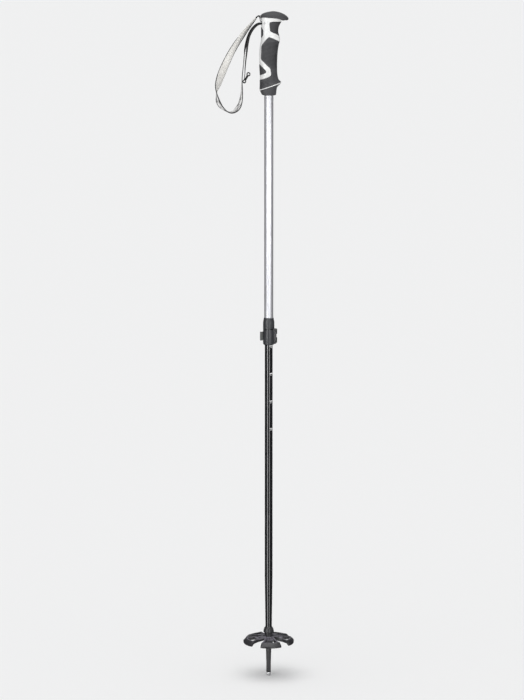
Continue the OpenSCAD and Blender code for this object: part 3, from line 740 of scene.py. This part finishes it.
def cap():
    """Rubber cap: arched lower edge, rounded rim and a hollow under the nose."""
    sides = 200
    fine = resample(CAP, 24)
    a = 2 * np.pi * np.arange(sides) / sides
    c, s = power(np.cos(a), 2.15), power(np.sin(a), 2.15)

    def at(row, inset=0.0):
        middle = (row[..., 1] + row[..., 2]) / 2
        reach = (row[..., 2] - row[..., 1]) / 2 - inset
        return middle + c * reach, s * (row[..., 3] - inset)

    def row_at(t):
        return np.stack([np.interp(t, np.arange(len(fine)), fine[:, k]) for k in range(4)], 1)

    widest, rim_height, rim_depth, steps = CAP[2], 0.9, 0.7, 70
    x_edge, _ = at(np.array(widest, float))
    edge = np.interp(x_edge, *zip(*CAP_EDGE))
    start = np.interp(edge, fine[:, 0], np.arange(len(fine)))
    rings = []
    for j in range(steps + 1):
        row = row_at(start + (len(fine) - 1 - start) * (j / steps))
        lift = np.clip((row[:, 0] - edge) / rim_height, 0, 1)
        x, y = at(row, rim_depth * (1 - np.sqrt(1 - (1 - lift) ** 2)))
        rings.append(np.stack([x, y, row[:, 0]], 1))
    base = row_at(start)
    under = []
    for inset, rise in ((7, 1.8), (3.4, 1.5), (2.0, 0.9), (1.3, 0.15)):
        x, y = at(base, inset)
        under.append(np.stack([x, y, edge + rise], 1))
    verts = np.concatenate(under + rings)
    verts[:, 2] += GRIP_FOOT
    return piece("head_cap", verts.tolist(), tube_faces(len(under) + len(rings), sides, True, True),
                 M_CAP, "upper_pole", replaces=["head_cap"])


cap()

# --------------------------------------------------------------------------
# Strap
# --------------------------------------------------------------------------

# Half widths of the webbing and the band, and the band's thickness
WEB, BAND = 6.0, 11.0
BAND_T = 1.0
# Routes of the strap's pieces: x, height below the pole's top, twist in degrees, half width
BAND_ROUTE = [
    [-14, -8.4, 0, WEB], [-18, -8, 2, WEB], [-22, -10.6, 6, WEB + 1],
    [-29.5, -19.5, 12, WEB + 3], [-39, -31, 18, BAND - 1], [-48, -43.5, 22, BAND],
    [-57.5, -57.5, 26, BAND], [-66, -72, 30, BAND], [-73.5, -87, 34, BAND],
    [-80, -101.5, 36, BAND], [-85.5, -116, 34, BAND], [-89.5, -129.5, 24, BAND],
    [-91.5, -141.5, 2, BAND], [-90.5, -153.5, -16, BAND], [-87, -163, -20, BAND],
    [-81, -170.5, -14, BAND], [-73.5, -175.5, -5, BAND], [-65.5, -177, 3, BAND],
    [-58.4, -173.4, 13, BAND], [-53, -167, 17, BAND], [-49.5, -157.6, 14, BAND],
    [-47.8, -146, 9, BAND], [-47.2, -134, 4, BAND], [-46.9, -118, 0, BAND - 1],
    [-45.5, -102, 0, WEB + 3], [-44.1, -88, 0, WEB + 0.5], [-43.2, -76, 0, WEB - 0.4],
]
WEBBING_ROUTE = [
    [-44.1, -88, 0, WEB], [-43.1, -76, 0, WEB], [-42.1, -67, -8, WEB], [-40.2, -57.4, -13, WEB],
    [-36.5, -43.2, -12, WEB], [-30.6, -31.8, -12, WEB], [-23.8, -24.4, -12, WEB],
    [-18, -21.2, -11, WEB], [-12, -20.6, -8, WEB],
]
TAIL_ROUTE = [
    [-12, -22.2, 8, WEB], [-17.6, -22.9, 11, WEB], [-22.9, -26.2, 12, WEB],
    [-28.9, -33.4, 12, WEB], [-34.2, -44, 12, WEB], [-37.3, -57.6, 13, WEB],
    [-38.7, -71, 9, WEB], [-40.2, -84, 5, WEB], [-41.5, -98, 3, WEB], [-42.2, -110, 0, WEB],
    [-43.3, -118.6, 0, WEB],
]
LABEL_ROUTE = [[-43.0, -93.4, 0, 6.4], [-41.95, -82, 0, 6.4], [-40.8, -69.8, 0, 6.4]]
# The strap's pin, and the radius at which the webbing wraps it
PIN_X, PIN_Z, WRAP = -7.7, -20.4, 2.2
LOOP_ROUTE = [
    [-19.4, -8.5, 6, WEB], [-18.2, -8.3, 6, WEB], [-16.5, -9.4, 4, WEB], [-15.6, -12.6, 0, WEB],
    [-14.8, PIN_Z + WRAP + 1.4, 0, WEB], [-13.2, PIN_Z + WRAP + 0.2, 0, WEB],
    [-11, PIN_Z + WRAP, 0, WEB],
    *[[PIN_X + WRAP * math.cos(math.radians(d)), PIN_Z + WRAP * math.sin(math.radians(d)), 0, WEB]
      for d in range(90, -91, -30)],
    [-11, PIN_Z - WRAP, 0, WEB], [-14, PIN_Z - WRAP - 0.2, 0, WEB], [-17.5, -23, 0, WEB],
]
END_ROUTE = [[-9.8, -21.1, 0, WEB], [-14, -21.1, 0, WEB], [-17, -21.4, 0, WEB], [-20.2, -22.4, 0, WEB]]
# The keeper's two eyes: x, height below the pole's top, radius
KEEPER_EYES = [[-43, -122.6, 2.4], [-35.8, -110, 2.7]]
# Half the width of the gap where it is pinched
KEEPER_GAP = 1.0


def ribbon_frame(route, steps):
    """Centres, half widths, across and thickness directions, and length along a route."""
    fine = resample(route, steps)
    centre = np.stack([fine[:, 0], np.zeros(len(fine)), fine[:, 1] + POLE_TOP], 1)
    step = np.gradient(fine[:, :2], axis=0)
    step /= np.linalg.norm(step, axis=1, keepdims=True)
    n = np.stack([-step[:, 1], np.zeros(len(step)), step[:, 0]], 1)
    y = np.array([0.0, 1.0, 0.0])
    a = np.radians(fine[:, 2])[:, None]
    across = np.cos(a) * y + np.sin(a) * n
    through = np.cos(a) * n - np.sin(a) * y
    travel = np.concatenate([[0], np.cumsum(np.linalg.norm(np.diff(centre, axis=0), axis=1))])
    return centre, fine[:, 3], across, through, travel


def ribbon(name, route, thick, steps, materials, flat_sides=10, crown=0.0,
           dark_rows=0, inner_rows=99, pale_rows=0):
    """A flat strap with rounded edges, steps to each row of its route, in place of its CAD node.

    Materials are [inner face, outer face, edges, pale edges]. The first dark_rows of the route
    are edge material all round, the edges are pale up to pale_rows, and the inner face takes
    the outer material from inner_rows on. crown is how far its middle swells.
    """
    centre, half, across, through, travel = ribbon_frame(route, steps)
    section = []
    spread = np.linspace(-1, 1, flat_sides + 1)
    for u in spread:
        section.append((u, 0.0, 1 + crown * (1 - u * u), 0))
    for j in range(1, 4):
        a = math.pi * j / 4
        section.append((1, math.sin(a), math.cos(a), 2))
    for u in spread[::-1]:
        section.append((u, 0.0, -1 - crown * (1 - u * u), 1))
    for j in range(1, 4):
        a = math.pi * j / 4
        section.append((-1, -math.sin(a), -math.cos(a), 2))
    sides = len(section)
    r = thick / 2
    verts, uv = [], []
    for k in range(len(centre)):
        flat = half[k] - r
        for u, bulge, height, _ in section:
            v = centre[k] + across[k] * (u * flat + bulge * r) + through[k] * height * r
            verts.append(tuple(v))
            uv.append((u * flat + bulge * r, travel[k]))
    faces = tube_faces(len(centre), sides, True, True, True)
    index = []
    for k in range(len(centre) - 1):
        for i in range(sides):
            a, b = section[i][3], section[(i + 1) % sides][3]
            face = 2 if 2 in (a, b) or a != b else a
            if k < dark_rows * steps:
                face = 2
            elif face == 2 and k < pale_rows * steps:
                face = 3
            index.append(1 if face == 0 and k >= inner_rows * steps else face)
    index += [2, 2]
    return piece(name, verts, faces, materials, None, uv, [name], index, ride=False)


def route_length(route):
    return float(ribbon_frame(route, 10)[4][-1])


def cloth(route):
    """Works out a strap route's length in metres, and does nothing with it."""
    route_length(route) * MM


def bend(ob):
    """Bakes a piece's placement into its mesh."""
    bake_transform(ob)


def keeper_route():
    """Once round the keeper's loop: an eye at each end and the pinched middle."""
    (ax, az, ar), (bx, bz, br) = KEEPER_EYES
    turn = math.atan2(bz - az, bx - ax)
    rows = []
    for x, z, r, first in ((ax, az, ar, 0.0), (bx, bz, br, math.pi)):
        open_by = math.asin(KEEPER_GAP / r)
        for j in range(13):
            a = turn + first + open_by + (2 * math.pi - 2 * open_by) * j / 12
            rows.append([x + r * math.cos(a), z + r * math.sin(a), 0, WEB])
    rows.append(rows[0])
    return rows


# How full the binding is along each edge of the band: row of the route, share
NEAR_EDGE = [[4, 0.9], [9, 0.95], [12, 1.5], [16, 1.6], [20, 1.3], [25, 1.2]]
FAR_EDGE = [[1, 2.8], [5, 2.4], [7, 1.3], [10, 0.9], [25, 1.1]]


def edging(name, route, steps=10):
    """Folded binding over both edges of the band, fading in and out at its ends."""
    centre, half, across, through, travel = ribbon_frame(route, steps)
    verts, uv, faces = [], [], []
    sides, inset, round_by = 12, 0.36, 2.6
    for side, table in ((-1, NEAR_EDGE), (1, FAR_EDGE)):
        base = len(verts)
        first, last = table[0][0] * steps, table[-1][0] * steps
        for k in range(first, last + 1):
            fade = 0.1 + 0.9 * min(1, (k - first) / 18, (last - k) / 6)
            swell = np.interp(k / steps, *zip(*table))
            middle = centre[k] + across[k] * side * (half[k] - inset)
            for i in range(sides):
                a = 2 * math.pi * i / sides
                p = middle + across[k] * power(math.cos(a), round_by) * 0.45 * fade * swell
                p = p + through[k] * power(math.sin(a), round_by) * (0.2 + 0.38 * fade) * swell
                verts.append(tuple(p))
                uv.append((4.8 * i / sides, travel[k]))
        ring = tube_faces(last - first + 1, sides, True, True, side > 0)
        faces += [tuple(v + base for v in f) for f in ring]
    return piece(name, verts, faces, M_BINDING, "wrist_strap", uv, ride=False)


def stitches(name, route, first, last, places, thick, pitch=2.6, long=1.7, steps=10):
    """Rows of thread on both faces of a ribbon from row first to row last, at places across it."""
    centre, _, across, through, travel = ribbon_frame(route, steps)
    low, high = travel[first * steps], travel[last * steps]
    verts, uv, faces = [], [], []
    sides, rings, thread, sink = 6, 5, 0.13, 0.04

    def at(table, t):
        return np.array([np.interp(t, travel, table[:, c]) for c in range(3)])

    for u in places:
        for face in (-1, 1):
            for j in range(int((high - low) / pitch)):
                base = len(verts)
                for k in range(rings):
                    f = k / (rings - 1)
                    t = low + (j + 0.5) * pitch + (f - 0.5) * long
                    w, n = at(across, t), at(through, t)
                    arch = math.sin(math.pi * f)
                    middle = at(centre, t) + w * u + n * face * (thick / 2 + 0.1 * arch - sink)
                    r = thread * (0.5 + 0.5 * arch)
                    for i in range(sides):
                        a = 2 * math.pi * i / sides
                        verts.append(tuple(middle + w * r * math.cos(a) + n * r * math.sin(a)))
                        uv.append((i * 0.2, t))
                faces += [tuple(v + base for v in f) for f in tube_faces(rings, sides, True, True)]
    return piece(name, verts, faces, M_THREAD, "wrist_strap", uv, ride=False)


band = ribbon(
    "strap_band", BAND_ROUTE, BAND_T, 10, [M_LINING, M_PRINT, M_BINDING, M_SELVEDGE],
    flat_sides=16, crown=0.2, dark_rows=2.1, inner_rows=12.5, pale_rows=24,
)
webbing = ribbon("strap_webbing", WEBBING_ROUTE, 1.3, 12, [M_WEBBING] * 3)
tail = ribbon("strap_tail", TAIL_ROUTE, 1.2, 12, [M_WEBBING] * 3)
label = ribbon("strap_label", LABEL_ROUTE, 1.4, 12, [M_LABEL] * 3)
keeper = ribbon("strap_keeper", keeper_route(), 1.6, 4, [M_WEBBING] * 3)
loop = ribbon("strap_anchor_loop", LOOP_ROUTE, 1.2, 6, [M_WEBBING] * 3)
end = ribbon("strap_anchor_end", END_ROUTE, 1.0, 6, [M_WEBBING] * 3)
binding = edging("strap_binding", BAND_ROUTE)
band_thread = stitches("band_stitching", BAND_ROUTE, 6, 22, (-9.4, 9.4), BAND_T * 1.15)
cloth(BAND_ROUTE)
cloth(WEBBING_ROUTE)
cloth(TAIL_ROUTE)
cloth(keeper_route())
cloth(LOOP_ROUTE)
cloth(END_ROUTE)
for ob in (band, binding, webbing, tail):
    bend(ob)
for ob in (keeper, label, band_thread):
    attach(ob, "wrist_strap")
for ob in (loop, end):
    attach(ob, "upper_pole")

# --------------------------------------------------------------------------
# CAD nodes that keep their shape
# --------------------------------------------------------------------------

# Material of each CAD node that stays visible
FINISH = {
    "lower_shaft": M_BLACK, "guide_plug": M_LINER, "tip_ferrule": M_FERRULE, "tip_insert": M_TIP,
    "basket": M_BASKET, "upper_shaft": M_SILVER, "clamp_body": M_CLAMP, "clamp_bushing": M_LINER,
    "wear_plate": M_STEEL, "nut_bar": M_DARK, "lever_pin": M_DARK, "clamp_lever": M_LEVER,
    "tension_screw": M_DARK, "strap_pin": M_TIP, "strap_wedge": M_LINER,
}
# Width in millimetres of the rounding on a node's edges
BEVEL = {
    "clamp_body": 0.35, "clamp_lever": 0.7, "basket": 0.5, "tip_ferrule": 0.25, "tip_insert": 0.15,
    "tension_screw": 0.15, "wear_plate": 0.1, "nut_bar": 0.15, "lever_pin": 0.15, "upper_shaft": 0.1,
}
for name, material in FINISH.items():
    ob = NODES[name]
    for k in range(max(1, len(ob.material_slots))):
        if len(ob.material_slots) <= k:
            ob.data.materials.append(material)
        ob.material_slots[k].material = material
    ob.data.polygons.foreach_set("use_smooth", [True] * len(ob.data.polygons))
    if name in BEVEL:
        weld = ob.modifiers.new("weld", "WELD")
        weld.merge_threshold = 1e-6
        bevel = ob.modifiers.new("edges", "BEVEL")
        bevel.width = BEVEL[name] * MM
        bevel.segments = 2
        bevel.limit_method = "ANGLE"
        bevel.angle_limit = math.radians(35)
        bevel.harden_normals = True

# --------------------------------------------------------------------------
# Length marks printed on the lower shaft
# --------------------------------------------------------------------------


def length_marks():
    """White lines and figures that wrap round the shaft, right of its front."""
    r, first_height, pitch, first_figure, count = 7.04, 457.5, 50.0, 105, 8
    line_start, line_long, line_half, steps = 2.0, 6.6, 0.45, 12
    figure_size, figure_x, figure_drop = 3.5, 4.9, 3.8
    verts, faces = [], []

    def wrap(x, z):
        a = x / r - math.pi / 2
        verts.append((r * math.cos(a), r * math.sin(a), z))

    for j in range(count):
        height = first_height + pitch * j
        base = len(verts)
        for k in range(steps + 1):
            x = line_start + line_long * k / steps
            wrap(x, height - line_half)
            wrap(x, height + line_half)
        faces += [(base + 2 * k, base + 2 * k + 2, base + 2 * k + 3, base + 2 * k + 1) for k in range(steps)]
        curve = bpy.data.curves.new("figures", "FONT")
        curve.body = str(first_figure + 5 * j)
        curve.size = figure_size
        curve.align_x = "CENTER"
        curve.resolution_u = 3
        source = bpy.data.objects.new("figures", curve)
        mesh = bpy.data.meshes.new_from_object(source)
        base = len(verts)
        for v in mesh.vertices:
            wrap(v.co.x + figure_x, v.co.y + height - figure_drop)
        faces += [tuple(base + i for i in p.vertices) for p in mesh.polygons]
        bpy.data.objects.remove(source)
    piece("length_marks", verts, faces, M_MARK, "lower_pole")


length_marks()

# --------------------------------------------------------------------------
# Floor, and what the lights reach
# --------------------------------------------------------------------------

REACH = 60
floor_mesh = bpy.data.meshes.new("floor")
floor_mesh.from_pydata([(x, y, 0) for x in (-REACH, REACH) for y in (-REACH, REACH)], [], [(0, 2, 3, 1)])
floor = bpy.data.objects.new("floor", floor_mesh)
floor.location.z = -0.0005
paint = Maker("floor_paint", (0.88, 0.88, 0.88), 0.9, Specular_IOR_Level=0.0)
floor_mesh.materials.append(paint.material)
bpy.context.scene.collection.objects.link(floor)
silver_only.objects.link(NODES["upper_shaft"])
off_floor.objects.link(floor)
off_floor.collection_objects[0].light_linking.link_state = "EXCLUDE"
